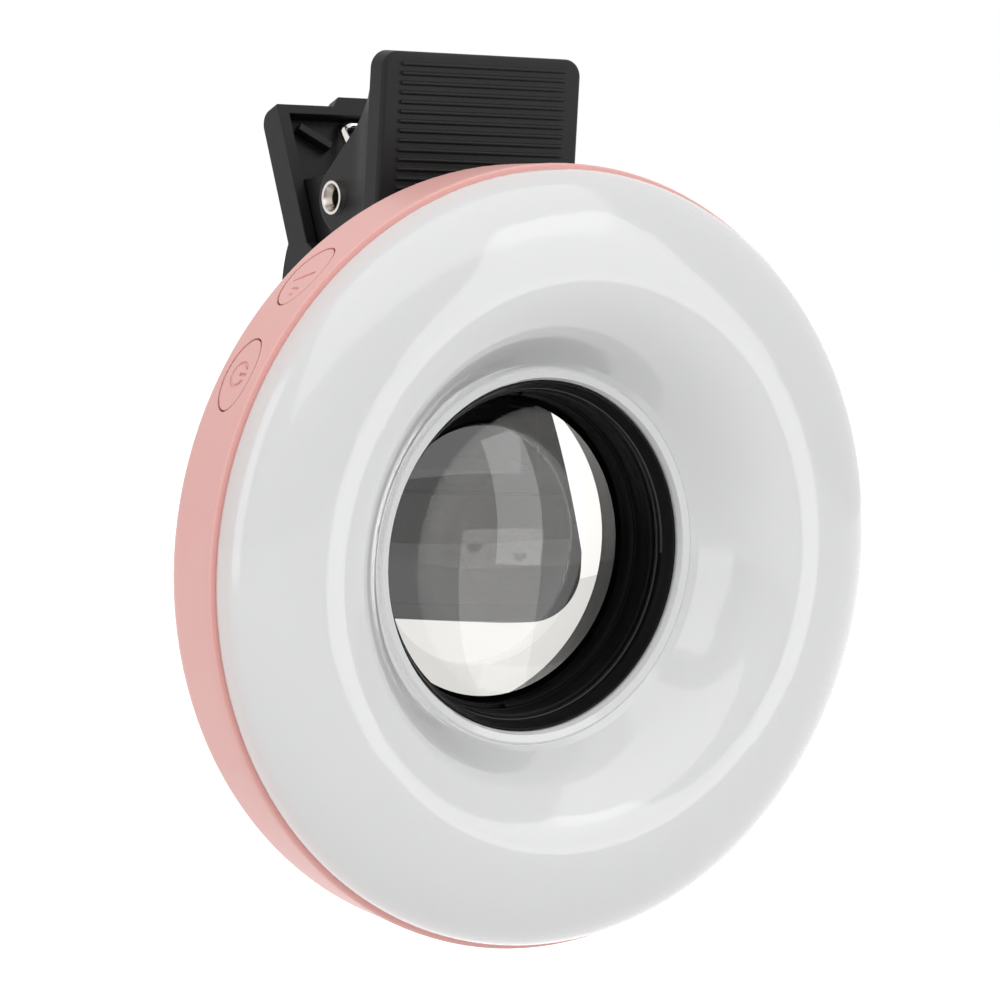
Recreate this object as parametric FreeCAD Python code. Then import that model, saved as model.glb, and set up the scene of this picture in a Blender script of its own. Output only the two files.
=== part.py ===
# Clip-on macro lens with a ring light, in millimetres.
# The lens axis lies along Y. The light faces -Y, the phone goes in on the +Y side, +Z is up.
# The origin is on the lens axis, in the face of the front pad that touches the phone.

import FreeCAD, Part
import math
import os

# Clip, front lever
clip_half_width = 13.4
pad_thickness = 1.0
plate_thickness = 2.72
plate_top_z = 54.6
plate_corner_r = 2.0
plate_edge_r = 0.55
jaw_ring_r = 22.6
jaw_ring_depth = 5.2
jaw_blend_r = 4.0
ear_inset = 1.0
ear_flare_depth = 4.2
ear_inner_x = 10.7
ear_top_z = 50.2
ear_shoulder_y = 3.3
ear_shoulder_z = 45.4
ear_bottom_z = 28.5
ear_boss_r = 3.6
rib_count = 14
rib_pitch = 1.058
rib_top_z = 53.23
rib_half_length = 11.08
rib_width = 0.42
rib_height = 0.32

# Clip, pivot and spring
pivot_y = 6.05
pivot_z = 37.8
pin_r = 1.9
pin_dish_r = 1.6
pin_dish_depth = 1.0
pin_bore_r = 1.25
pin_stand_out = 0.8
pin_press_gap = 0.01
pin_running_gap = 0.06
wire_r = 0.55
coil_r = 3.0
coil_pitch = 1.18
coil_start_x = 4.5
coil_turns = 2
front_leg_end_z = 48.0
bight_z = 45.6
bight_corner_r = 1.6
spring_gap = 0.06

# Clip, rear lever
lever_half_width = 12.3
lever_side_wall = 1.4
lever_skin = 1.7
lever_front_y = 0.2
grip_lean_deg = 26.7
grip_top_y = 19.75
grip_top_z = 47.75
grip_depth = 3.6
grip_corner_r = 1.6
grip_top_wall = 1.1
grip_notch_z = 32.0
grip_step_height = 1.2
grip_step_half_width = 3.7
grip_step_slope = 1.3
jaw_throat_z = 26.5
jaw_bulge_y = 16.55
jaw_bulge_z = 27.6
jaw_waist_y = 12.6
jaw_waist_z = 12.5
jaw_tip_y = 3.4
jaw_tip_z = -7.4
jaw_tip_half_width = 14.9
jaw_tip_corner_r = 4.4
jaw_flare_z = 10.5
jaw_solid_z = 5.2
lug_thickness = 2.2
lug_side_gap = 0.12
lug_boss_r = 3.4
lug_root_high = 8.4
lug_root_low = 16.6
gusset_thickness = 0.9
gusset_height = 1.3
gusset_foot_x = 5.6
gusset_foot_down = 4.7
gusset_length = 4.4
rear_pad_top_z = 3.3
rear_pad_margin = 1.3
rear_pad_recess = 0.6
rear_pad_stand_out = 0.6

# Lens barrel, washer and glass
washer_thickness = 0.5
washer_r = 20.9
spigot_r = 18.35
thread_running_gap = 0.05
spigot_end_gap = 0.8
grip_ring_r = 21.7
grip_ring_length = 4.3
grip_ring_teeth = 72
grip_tooth_depth = 0.35
barrel_flange_width = 3.5
barrel_flange_thickness = 1.4
barrel_r = 19.4
barrel_housing_gap = 0.1
mouth_depth = 2.6
mouth_chamfer = 0.7
filter_thread_r = 18.5
filter_thread_start = 1.3
filter_thread_length = 1.2
smooth_bore_r = 17.95
glass_r = 17.75
glass_seat_gap = 0.04
glass_clear_r = 17.3
glass_edge_depth = 10.0
glass_edge_thickness = 1.5
glass_front_radius = 34.0
glass_seat_inner_r = 16.25
retainer_length = 2.0
retainer_notch_width = 2.2
retainer_notch_depth = 0.7
flange_screw_inset = 1.8
flange_screw_count = 3
flange_screw_first_deg = 90.0
flange_screw_r = 0.7
flange_screw_head_r = 1.25
flange_screw_head_height = 0.8
flange_screw_length = 4.2

# Ring light housing
rim_r = 43.4
rim_taper = 0.45
rim_depth = 10.0
rim_wall = 2.1
rim_rear_round = 2.65
rim_front_land = 0.8
rim_front_round = 0.2
rim_straight_depth = 0.8
rear_wall = 1.6
collar_wall = 1.8
collar_start_depth = 3.3

# Diffuser
dome_crest_share = 0.52
dome_height = 6.45
dome_root_gap = 0.1
dome_bulge = 0.25
dome_bulge_height = 0.7
dome_wall = 1.5
dome_hole_r = 19.53
lip_width = 1.35
lip_depth = 2.0
lip_round = 0.3
skirt_depth = 1.4
skirt_wall = 1.2
skirt_gap = 0.1

# Light board and what it carries
board_front_depth = 1.0
board_thickness = 1.0
board_collar_gap = 2.5
board_skirt_gap = 0.2
led_count = 36
led_circle_share = 0.432
led_length = 3.5
led_width = 2.8
led_height = 0.7
cover_screw_inset = 7.1
cover_screw_count = 4
cover_screw_first_deg = 36.0
cover_screw_r = 0.85
cover_screw_head_r = 1.65
cover_screw_head_height = 1.1
cover_screw_recess = 1.3
cover_screw_bite = 3.6
screw_clearance = 0.12
boss_r = 2.3
boss_overlap = 0.25
diffuser_boss_r = 1.9
battery_length_share = 0.599
battery_width_share = 0.63
battery_thickness = 4.4
battery_drop = 0.3
tape_thickness = 0.5
lead_r = 0.45
lead_bend_r = 1.6
lead_run = 1.2
lead_spacing = 1.6
lead_offset = 4.2
board_part_unit = 1.0
board_part_sizes = ((-8.0, 0.606, 3.0, 3.0, 0.9), (8.0, 0.575, 4.9, 3.9, 1.5), (18.0, 0.606, 4.0, 4.0, 2.0),
                    (-18.5, 0.669, 3.2, 2.5, 1.6), (44.0, 0.512, 2.9, 2.8, 1.1), (1.0, 0.2, 2.0, 1.2, 0.8))

# Buttons and their switches
button_depth = 4.25
button_length = 8.4
button_width = 5.2
button_gap = 0.22
button_travel = 0.3
button_sink = 0.05
button_flange_extra = 0.9
button_flange_width = 3.6
button_flange_thickness = 0.7
button_flange_gap = 0.06
button_stem_r = 1.0
button_stem_gap = 0.04
power_button_deg = 152.8
mode_button_deg = 135.3
mark_depth = 0.45
mark_stroke = 0.36
power_mark_r = 1.35
mode_mark_bars = ((0.2, 0.0, 3.3, 27.0), (1.96, -0.25, 1.33, 0.0), (2.8, -0.25, 0.5, 0.0))
switch_length = 6.0
switch_height = 3.4
switch_depth = 3.4
switch_tip_length = 0.6
switch_tip_r = 0.8

# Charging socket
usb_deg = -32.0
usb_length = 7.5
usb_height = 2.9
usb_depth = 5.2
usb_wall = 0.35
usb_recess = 0.7
usb_slot_gap = 0.3
usb_tongue_thickness = 0.7

# Stations along the lens axis
plate_back_y = -pad_thickness
plate_front_y = plate_back_y - plate_thickness
jaw_ring_front_y = plate_back_y - jaw_ring_depth
shoulder_y = jaw_ring_front_y - washer_thickness
housing_rear_y = shoulder_y - grip_ring_length
seam_y = housing_rear_y - rim_depth
mouth_y = seam_y + mouth_depth
glass_edge_y = seam_y + glass_edge_depth
glass_back_y = glass_edge_y + glass_edge_thickness
board_front_y = seam_y + board_front_depth
board_back_y = board_front_y + board_thickness
rear_wall_inner_y = housing_rear_y - rear_wall
collar_front_y = seam_y + collar_start_depth
button_y = seam_y + button_depth
rim_rear_r = rim_r - rim_taper
rim_inner_r = rim_r - rim_wall
seam_r = rim_r - rim_front_land
dome_crest_r = dome_hole_r + dome_crest_share * (seam_r - dome_hole_r)
dome_bulge_y = seam_y - dome_bulge_height
led_circle_r = dome_hole_r + led_circle_share * (seam_r - dome_hole_r)
cover_screw_circle_r = rim_r - cover_screw_inset
barrel_flange_r = grip_ring_r + barrel_flange_width
flange_screw_circle_r = barrel_flange_r - flange_screw_inset
rear_pad_corner_r = jaw_tip_corner_r - rear_pad_margin
collar_bore_r = barrel_r + barrel_housing_gap
collar_r = collar_bore_r + collar_wall
board_inner_r = collar_r + board_collar_gap
battery_length = rim_r * battery_length_share
battery_width = (rim_inner_r - collar_r) * battery_width_share
battery_centre_z = -(collar_r + rim_inner_r) / 2 - battery_drop
skirt_outer_r = rim_inner_r - skirt_gap
board_outer_r = skirt_outer_r - skirt_wall - board_skirt_gap
ear_outer_x = clip_half_width - ear_inset
pivot = FreeCAD.Vector(0, pivot_y, pivot_z)


def vec(x, y, z):
    return FreeCAD.Vector(x, y, z)


def along_axis(point):
    """A profile point (radius, y) in the XY plane, ready to turn about the lens axis."""
    return vec(point[0], point[1], 0)


def from_side(point):
    """A point (y, z) of a side outline, in the plane X = 0."""
    return vec(0, point[0], point[1])


def from_front(point):
    """A point (x, z) of a front outline, in the plane Y = 0."""
    return vec(point[0], 0, point[1])


def outline_face(points, place):
    """A face inside a closed outline. A point draws a line, a pair of points an arc through the first."""
    first = points[0]
    here = place(first)
    edges = []
    for step in points[1:] + [first]:
        if isinstance(step[0], tuple):
            there = place(step[1])
            edges.append(Part.Arc(here, place(step[0]), there).toShape())
        else:
            there = place(step)
            if there.distanceToPoint(here) < 1e-6:
                continue
            edges.append(Part.LineSegment(here, there).toShape())
        here = there
    return Part.Face(Part.Wire(edges))


def turned(points):
    """A solid of revolution about the lens axis."""
    return outline_face(points, along_axis).revolve(vec(0, 0, 0), vec(0, 1, 0), 360)


def side_slab(points, x_from, x_to):
    """A side outline thickened along X."""
    face = outline_face(points, from_side)
    face.translate(vec(x_from, 0, 0))
    return face.extrude(vec(x_to - x_from, 0, 0))


def front_slab(points, y_from, y_to):
    """A front outline thickened along Y."""
    face = outline_face(points, from_front)
    face.translate(vec(0, y_from, 0))
    return face.extrude(vec(0, y_to - y_from, 0))


def disc(radius, y_from, y_to, x=0.0, z=0.0):
    return Part.makeCylinder(radius, y_to - y_from, vec(x, y_from, z), vec(0, 1, 0))


def tube(outer_r, inner_r, y_from, y_to):
    return disc(outer_r, y_from, y_to).cut(disc(inner_r, y_from - 1, y_to + 1))


def cross_rod(radius, x_from, x_to):
    """A cylinder about the pivot axis."""
    return Part.makeCylinder(radius, x_to - x_from, vec(x_from, pivot_y, pivot_z), vec(1, 0, 0))


def block(x_from, x_to, y_from, y_to, z_from, z_to):
    return Part.makeBox(x_to - x_from, y_to - y_from, z_to - z_from, vec(x_from, y_from, z_from))


def fused(shapes):
    whole = shapes[0].multiFuse(shapes[1:]) if len(shapes) > 1 else shapes[0]
    return whole.removeSplitter()


def mirrored(shape):
    return shape.mirror(vec(0, 0, 0), vec(1, 0, 0))


def polar(radius, degrees):
    """The place (x, z) at a radius and an angle about the lens axis, from +X towards +Z."""
    angle = math.radians(degrees)
    return radius * math.cos(angle), radius * math.sin(angle)


def screw_places(circle_r, count, first_deg):
    return [polar(circle_r, first_deg + 360.0 * k / count) for k in range(count)]


def to_rim(shape, degrees, y):
    """Carry a shape from its own frame (X radial, Y axial, Z tangential) to its place on the rim."""
    moved = shape.copy()
    moved.translate(vec(0, y, 0))
    moved.rotate(vec(0, 0, 0), vec(0, 1, 0), -degrees)
    return moved


def stadium(length, width, x_from, x_to):
    """A long rounded bar section, its length along Z and its width along Y, thickened along X."""
    half = width / 2
    straight = length / 2 - half
    points = [(-half, -straight), (-half, straight), ((0, straight + half), (half, straight)),
              (half, -straight), ((0, -straight - half), (-half, -straight))]
    return side_slab(points, x_from, x_to)


def oval(length, width, x_from, x_to):
    """An ellipse with its length along Z and its width along Y, thickened along X."""
    ellipse = Part.Ellipse(vec(x_from, 0, length / 2), vec(x_from, width / 2, 0), vec(x_from, 0, 0))
    return Part.Face(Part.Wire([ellipse.toShape()])).extrude(vec(x_to - x_from, 0, 0))


def front_plate():
    """The ribbed grip plate that widens into the round jaw, as one flat outline."""
    blend_x = clip_half_width + jaw_blend_r
    blend_z = math.sqrt((jaw_ring_r + jaw_blend_r) ** 2 - blend_x ** 2)
    share = jaw_ring_r / (jaw_ring_r + jaw_blend_r)
    touch = (blend_x * share, blend_z * share)
    turn = math.pi - 0.5 * math.atan2(blend_z - touch[1], blend_x - touch[0])
    mid = (blend_x + jaw_blend_r * math.cos(turn), blend_z - jaw_blend_r * math.sin(turn))
    top = plate_top_z
    wide = clip_half_width
    corner = plate_corner_r
    inset = corner * (1 - math.sqrt(0.5))
    points = [(wide, top - corner), (wide, blend_z), (mid, touch),
              ((0, -jaw_ring_r), (-touch[0], touch[1])), ((-mid[0], mid[1]), (-wide, blend_z)),
              (-wide, top - corner), ((-wide + inset, top - inset), (-wide + corner, top)),
              (wide - corner, top), ((wide - inset, top - inset), (wide, top - corner))]
    return front_slab(points, plate_front_y, plate_back_y)


def soft_edges(shape, radius, wanted):
    """Round the edges that the test picks."""
    edges = [edge for edge in shape.Edges if wanted(edge)]
    return shape.makeFillet(radius, edges)


def is_plate_front_edge(edge):
    """True on the outline of the plate's front face above the jaw ring."""
    box = edge.BoundBox
    return abs(box.YMin - plate_front_y) < 1e-4 and box.YLength < 1e-4 and box.ZMin > jaw_ring_r - 4


def ear():
    """The side web on +X that carries the pivot pin. Its outer face curves in behind the plate."""
    y_start = plate_back_y - 0.2
    y_flare = plate_back_y + ear_flare_depth
    y_end = pivot_y + ear_boss_r + 1
    bend_y = plate_back_y + ear_flare_depth * 0.42
    bend_x = ear_outer_x + ear_inset * 0.30
    section = [(ear_inner_x, y_start), (clip_half_width, y_start), (clip_half_width, plate_back_y),
               ((bend_x, bend_y), (ear_outer_x, y_flare)), (ear_outer_x, y_end), (ear_inner_x, y_end)]
    face = outline_face(section, along_axis)
    column = face.extrude(vec(0, 0, plate_top_z))
    reach = vec(0, pivot_y - y_start, pivot_z - ear_bottom_z).Length
    angle = math.atan2(pivot_z - ear_bottom_z, pivot_y - y_start) - math.asin(ear_boss_r / reach)
    along = math.sqrt(reach ** 2 - ear_boss_r ** 2)
    low = (y_start + along * math.cos(angle), ear_bottom_z + along * math.sin(angle))
    slope_y = pivot_y - ear_shoulder_y
    slope_z = pivot_z - ear_shoulder_z
    span = math.hypot(slope_y, slope_z)
    lean = math.atan2(slope_z, slope_y) + math.asin(ear_boss_r / span)
    run = math.sqrt(span ** 2 - ear_boss_r ** 2)
    high = (ear_shoulder_y + run * math.cos(lean), ear_shoulder_z + run * math.sin(lean))
    outline = [(y_start, ear_bottom_z), low, ((pivot_y + ear_boss_r, pivot_z), high),
               (ear_shoulder_y, ear_shoulder_z), (plate_back_y, ear_top_z), (y_start, ear_top_z)]
    return column.common(side_slab(outline, ear_inner_x - 1, clip_half_width + 1))


def grip_ribs():
    """The low ridges across the front grip."""
    half = rib_width / 2
    ribs = []
    for k in range(rib_count):
        z = rib_top_z - k * rib_pitch
        section = [(plate_front_y + 0.1, z - half), (plate_front_y, z - half),
                   ((plate_front_y - rib_height, z), (plate_front_y, z + half)), (plate_front_y + 0.1, z + half)]
        ribs.append(side_slab(section, -rib_half_length, rib_half_length))
    return ribs


def make_front_lever():
    plate = soft_edges(front_plate(), plate_edge_r, is_plate_front_edge)
    ring = disc(jaw_ring_r, jaw_ring_front_y, plate_back_y)
    side = ear()
    body = fused([plate, ring, side, mirrored(side)] + grip_ribs())
    bore = disc(spigot_r + thread_running_gap, jaw_ring_front_y - 1, 1)
    pin_hole = cross_rod(pin_r + pin_press_gap, -clip_half_width - 2, clip_half_width + 2)
    return body.cut(fused([bore])).cut(pin_hole)


def make_front_pad():
    outer_r = jaw_ring_r - 0.6
    inner_r = spigot_r + thread_running_gap + 0.5
    return tube(outer_r, inner_r, plate_back_y, 0)


def make_pivot_pin():
    reach = ear_outer_x + pin_stand_out
    dish = Part.makeCone(pin_dish_r, pin_bore_r, pin_dish_depth, vec(-reach, pivot_y, pivot_z), vec(1, 0, 0))
    pin = cross_rod(pin_r, -reach, reach).cut(cross_rod(pin_bore_r, -reach - 1, reach + 1))
    return pin.cut(fused([dish])).cut(mirrored(dish))


def grip_frame():
    """The rear grip's own directions in the side view: up along the grip, and back through it."""
    lean = math.radians(grip_lean_deg)
    up = (math.sin(lean), math.cos(lean))
    back = (math.cos(lean), -math.sin(lean))
    return up, back


def grip_point(down, deep):
    """A side-view point, measured down the grip from its top front corner and back into it."""
    up, back = grip_frame()
    return (grip_top_y - down * up[0] + deep * back[0], grip_top_z - down * up[1] + deep * back[1])


def grip_front_low():
    """Where the grip's front edge turns forward to the jaw."""
    up, _ = grip_frame()
    down = (grip_top_z - grip_notch_z + 0.3) / up[1] * 0.955
    return grip_point(down, 0)


def lever_side(inset):
    """The rear lever's side outline. A positive inset gives the hollow inside its skin."""
    up, back = grip_frame()
    depth = grip_depth - inset
    notch_down = (grip_top_z - grip_notch_z - grip_depth * math.sin(math.radians(grip_lean_deg))) / up[1]
    corner = grip_corner_r
    easing = corner * (1 - math.sqrt(0.5))
    if inset == 0:
        top = [grip_point(0, 0), grip_point(0, depth - corner), (grip_point(easing, depth - easing),
               grip_point(corner, depth))]
        tip = [(jaw_tip_y, jaw_tip_z), (lever_front_y, jaw_tip_z)]
        front = [(lever_front_y, jaw_throat_z), grip_front_low()]
    else:
        top = [grip_point(grip_top_wall, -1), grip_point(grip_top_wall, depth)]
        tip = [(jaw_tip_y + 1.1 - inset, jaw_solid_z), (lever_front_y - 1, jaw_solid_z)]
        front = [(lever_front_y - 1, jaw_throat_z), (grip_front_low()[0] - 1, grip_front_low()[1] + 0.5)]
    notch = grip_point(notch_down, depth)
    bulge = ((jaw_bulge_y - inset, jaw_bulge_z + 2.2), (jaw_bulge_y - inset * 0.9, jaw_bulge_z - 2.5))
    waist = ((jaw_waist_y + 2.6 - inset, jaw_waist_z + 6.0), (jaw_waist_y - 2.2 - inset, jaw_waist_z - 3.5))
    return top + [notch, bulge, waist] + tip + front


def lever_front_mask():
    """The rear lever seen from the front: straight sides that flare to a wider tip."""
    wide = jaw_tip_half_width
    corner = jaw_tip_corner_r
    inset = corner * (1 - math.sqrt(0.5))
    low = jaw_tip_z
    high = grip_top_z + grip_step_height + 2
    return [(lever_half_width, high), (lever_half_width, jaw_flare_z), (wide, low + corner + 1.5), (wide, low + corner),
            ((wide - inset, low + inset), (wide - corner, low)), (-wide + corner, low),
            ((-wide + inset, low + inset), (-wide, low + corner)), (-wide, low + corner + 1.5),
            (-lever_half_width, jaw_flare_z), (-lever_half_width, high)]


def lug():
    """The inner lug on +X that runs on the pivot pin."""
    x_to = ear_inner_x - lug_side_gap
    x_from = x_to - lug_thickness
    top = grip_point(lug_root_high, grip_depth - 0.4)
    low = grip_point(lug_root_low, grip_depth - 0.4)
    knee = (pivot_y - 0.4, jaw_throat_z + 1.8)
    angle_high = math.atan2(top[1] - pivot_z, top[0] - pivot_y) + math.radians(72)
    high = (pivot_y + lug_boss_r * math.cos(angle_high), pivot_z + lug_boss_r * math.sin(angle_high))
    front = (pivot_y - lug_boss_r, pivot_z)
    points = [top, high, ((pivot_y - lug_boss_r * 0.77, pivot_z + lug_boss_r * 0.638), front), knee, low]
    return side_slab(points, x_from, x_to)


def gusset():
    """The low diagonal rib inside the grip that guides the spring's loop, on +X."""
    up, back = grip_frame()
    rib = block(-gusset_thickness / 2, gusset_thickness / 2, 0, gusset_height + 0.3, 0, gusset_length)
    rib.rotate(vec(0, 0, 0), vec(0, 1, 0), 58)
    rib.rotate(vec(0, 0, 0), vec(1, 0, 0), -grip_lean_deg)
    foot = grip_point(gusset_foot_down, grip_depth - lever_skin - gusset_height)
    rib.translate(vec(gusset_foot_x, foot[0], foot[1]))
    return rib


def grip_step():
    """The raised middle of the grip's top edge, with sloping ends."""
    low = (grip_step_half_width + grip_step_slope, -grip_top_wall * 0.5)
    high = (grip_step_half_width, grip_step_height)
    block_out = front_slab([(-low[0], low[1]), low, high, (-high[0], high[1])], 0, grip_depth - grip_corner_r)
    block_out.rotate(vec(0, 0, 0), vec(1, 0, 0), -grip_lean_deg)
    top = grip_point(0, 0)
    block_out.translate(vec(0, top[0], top[1]))
    return block_out


def rear_pad_shape(grow, y_from, y_to):
    """The pad's rounded outline near the tip, grown all round."""
    flare = (jaw_tip_half_width - lever_half_width) / (jaw_flare_z - jaw_tip_z - jaw_tip_corner_r - 1.5)
    top_half = lever_half_width + flare * (jaw_flare_z - rear_pad_top_z) - rear_pad_margin + grow
    low_half = jaw_tip_half_width - rear_pad_margin + grow
    top = rear_pad_top_z + grow
    low = jaw_tip_z + rear_pad_margin - grow
    corner = rear_pad_corner_r
    inset = corner * (1 - math.sqrt(0.5))
    side_low = low + corner
    points = [(top_half, top), (low_half, side_low), ((low_half - inset, low + inset), (low_half - corner, low)),
              (-low_half + corner, low), ((-low_half + inset, low + inset), (-low_half, side_low)),
              (-top_half, top)]
    return front_slab(points, y_from, y_to)


def make_rear_lever():
    inner_x = lever_half_width - lever_side_wall
    far = jaw_tip_half_width + 1
    solid = side_slab(lever_side(0), -far, far)
    y_far = grip_top_y + grip_depth + 2
    solid = solid.common(front_slab(lever_front_mask(), lever_front_y - 2, y_far))
    hollow = side_slab(lever_side(lever_skin), -inner_x, inner_x)
    body = solid.cut(hollow)
    step = grip_step()
    side_lug = lug()
    rib = gusset()
    boss_x = ear_inner_x - lug_side_gap
    boss = cross_rod(lug_boss_r, boss_x - lug_thickness, boss_x)
    body = fused([body, step, side_lug, mirrored(side_lug), boss, mirrored(boss), rib, mirrored(rib)])
    body = body.cut(cross_rod(pin_r + pin_running_gap, -far, far))
    seat_y = lever_front_y + rear_pad_recess
    return body.cut(rear_pad_shape(0.0, lever_front_y - 1, seat_y))


def make_rear_pad():
    return rear_pad_shape(-0.05, lever_front_y - rear_pad_stand_out, lever_front_y + rear_pad_recess)


def rounded_bend(before, corner, after, radius):
    """A corner between two runs of wire: the points where its arc starts, passes and ends."""
    u = (corner - before).normalize()
    v = (after - corner).normalize()
    turn = u.getAngle(v)
    back = radius * math.tan(turn / 2)
    start = corner - u * back
    end = corner + v * back
    inward = (v - u).normalize()
    centre = corner + inward * (radius / math.cos(turn / 2))
    mid = centre - inward * radius
    return start, mid, end


def spring_half():
    """Half of the double torsion spring on +X: half the loop, its leg, the coil and the front leg."""
    up, back = grip_frame()
    slope = coil_pitch / (2 * math.pi * coil_r)
    wall = grip_point(0, grip_depth - lever_skin - wire_r - spring_gap)
    loop_y = wall[0] - (wall[1] - bight_z) * up[0] / up[1]
    rear = math.hypot(loop_y - pivot_y, bight_z - pivot_z)
    start_angle = math.atan2(bight_z - pivot_z, loop_y - pivot_y) - math.acos(coil_r / rear)
    leg_y = plate_back_y + wire_r + spring_gap
    front = math.hypot(leg_y - pivot_y, front_leg_end_z - pivot_z)
    end_angle = math.atan2(front_leg_end_z - pivot_z, leg_y - pivot_y) + math.acos(coil_r / front)
    turning = (start_angle - end_angle) % (2 * math.pi) + 2 * math.pi * coil_turns
    helix = Part.makeHelix(coil_pitch, coil_pitch * turning / (2 * math.pi), coil_r, 0, True)
    helix.rotate(vec(0, 0, 0), vec(0, 1, 0), 90)
    first = helix.Edges[0].Curve.value(helix.Edges[0].FirstParameter)
    helix.rotate(vec(0, 0, 0), vec(1, 0, 0), math.degrees(start_angle - math.atan2(first.z, first.y)))
    helix.translate(vec(coil_start_x, pivot_y, pivot_z))
    coil_edge = helix.Edges[0]
    ends = [vertex.Point for vertex in helix.Vertexes]
    into = min(ends, key=lambda point: point.x)
    out = max(ends, key=lambda point: point.x)
    rear_length = math.sqrt(rear ** 2 - coil_r ** 2)
    corner = into + vec(-slope * rear_length, loop_y - pivot_y - coil_r * math.cos(start_angle),
                        bight_z - pivot_z - coil_r * math.sin(start_angle))
    middle = vec(0, corner.y, corner.z)
    bend_start, bend_mid, bend_end = rounded_bend(middle, corner, into, bight_corner_r)
    tip = vec(out.x + slope * math.sqrt(front ** 2 - coil_r ** 2), leg_y, front_leg_end_z)
    path = Part.Wire([Part.LineSegment(middle, bend_start).toShape(),
                      Part.Arc(bend_start, bend_mid, bend_end).toShape(),
                      Part.LineSegment(bend_end, into).toShape(), coil_edge,
                      Part.LineSegment(out, tip).toShape()])
    section = Part.Wire([Part.makeCircle(wire_r, middle, vec(1, 0, 0))])
    return path.makePipeShell([section], True, False, 2)


def make_torsion_spring():
    half = spring_half()
    return half.fuse(mirrored(half)).removeSplitter()


def make_thread_washer():
    return tube(washer_r, spigot_r + thread_running_gap, shoulder_y, jaw_ring_front_y)


def toothed_ring(y_from, y_to):
    """The barrel's grip ring with fine teeth for the fingers."""
    points = []
    for k in range(grip_ring_teeth):
        pitch = 360.0 / grip_ring_teeth
        points.append(polar(grip_ring_r, (k - 0.22) * pitch))
        points.append(polar(grip_ring_r, (k + 0.22) * pitch))
        points.append(polar(grip_ring_r - grip_tooth_depth, (k + 0.5) * pitch))
    return front_slab(points, y_from, y_to)


def make_lens_barrel():
    flange_rear_y = housing_rear_y + barrel_flange_thickness
    spigot_end_y = plate_back_y - spigot_end_gap
    outer = [(0, mouth_y), (barrel_r, mouth_y), (barrel_r, housing_rear_y), (barrel_flange_r, housing_rear_y),
             (barrel_flange_r, flange_rear_y - 0.3), (barrel_flange_r - 0.3, flange_rear_y),
             (grip_ring_r - 1, flange_rear_y), (grip_ring_r - 1, shoulder_y), (spigot_r, shoulder_y),
             (spigot_r, spigot_end_y - 0.4), (spigot_r - 0.4, spigot_end_y), (0, spigot_end_y)]
    body = fused([turned(outer), toothed_ring(flange_rear_y, shoulder_y)])
    thread_y = mouth_y + filter_thread_start
    thread_end_y = thread_y + filter_thread_length
    bore = turned([(0, mouth_y - 1), (filter_thread_r + mouth_chamfer, mouth_y - 1),
                   (filter_thread_r + mouth_chamfer, mouth_y), (filter_thread_r, thread_y),
                   (filter_thread_r, thread_end_y), (smooth_bore_r, thread_end_y + 0.15),
                   (smooth_bore_r, glass_edge_y - retainer_length), (glass_r + glass_seat_gap, glass_edge_y - retainer_length),
                   (glass_r + glass_seat_gap, glass_back_y), (glass_seat_inner_r, glass_back_y),
                   (glass_seat_inner_r, spigot_end_y + 1), (0, spigot_end_y + 1)])
    holes = [disc(flange_screw_r + screw_clearance, housing_rear_y - 1, flange_rear_y + 1, x, z)
             for x, z in screw_places(flange_screw_circle_r, flange_screw_count, flange_screw_first_deg)]
    return body.cut(bore).cut(fused(holes))


def make_lens_glass():
    sag = glass_front_radius - math.sqrt(glass_front_radius ** 2 - glass_clear_r ** 2)
    half_sag = glass_front_radius - math.sqrt(glass_front_radius ** 2 - (glass_clear_r / 2) ** 2)
    crest_y = glass_edge_y - sag
    profile = [(0, crest_y), ((glass_clear_r / 2, crest_y + half_sag), (glass_clear_r, glass_edge_y)),
               (glass_r, glass_edge_y), (glass_r, glass_back_y), (0, glass_back_y)]
    return turned(profile)


def make_lens_retainer():
    start_y = glass_edge_y - retainer_length
    ring = turned([(glass_clear_r, glass_edge_y), (glass_clear_r, start_y + 0.4), (glass_clear_r + 0.2, start_y),
                   (glass_r, start_y), (glass_r, glass_edge_y)])
    notch = block(-retainer_notch_width / 2, retainer_notch_width / 2, start_y - 1, start_y + retainer_notch_depth,
                  -glass_r - 1, glass_r + 1)
    return ring.cut(notch)


def make_barrel_screws():
    flange_rear_y = housing_rear_y + barrel_flange_thickness
    screws = []
    for x, z in screw_places(flange_screw_circle_r, flange_screw_count, flange_screw_first_deg):
        shank = disc(flange_screw_r, flange_rear_y - flange_screw_length, flange_rear_y, x, z)
        head = disc(flange_screw_head_r, flange_rear_y, flange_rear_y + flange_screw_head_height, x, z)
        drive = block(x - 0.9, x + 0.9, flange_rear_y + 0.4, flange_rear_y + 2, z - 0.15, z + 0.15)
        cross = block(x - 0.15, x + 0.15, flange_rear_y + 0.4, flange_rear_y + 2, z - 0.9, z + 0.9)
        screws.append(fused([shank, head]).cut(fused([drive, cross])))
    return Part.makeCompound(screws)


def housing_shell():
    """The rim, the rear wall and the collar for the barrel, turned as one section."""
    round_y = housing_rear_y - rim_rear_round
    ease = rim_rear_round * (1 - math.sqrt(0.5))
    edge = rim_front_round
    nick = edge * (1 - math.sqrt(0.5))
    inner_round = 1.0
    return turned([(seam_r, seam_y), (rim_r - edge, seam_y), ((rim_r - nick, seam_y + nick), (rim_r, seam_y + edge)),
                   (rim_r, seam_y + rim_straight_depth), (rim_rear_r, round_y),
                   ((rim_rear_r - ease, housing_rear_y - ease), (rim_rear_r - rim_rear_round, housing_rear_y)),
                   (collar_bore_r, housing_rear_y), (collar_bore_r, collar_front_y), (collar_r, collar_front_y),
                   (collar_r, rear_wall_inner_y), (rim_inner_r - inner_round, rear_wall_inner_y),
                   (rim_inner_r, rear_wall_inner_y - inner_round), (rim_inner_r, seam_y)])


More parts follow.
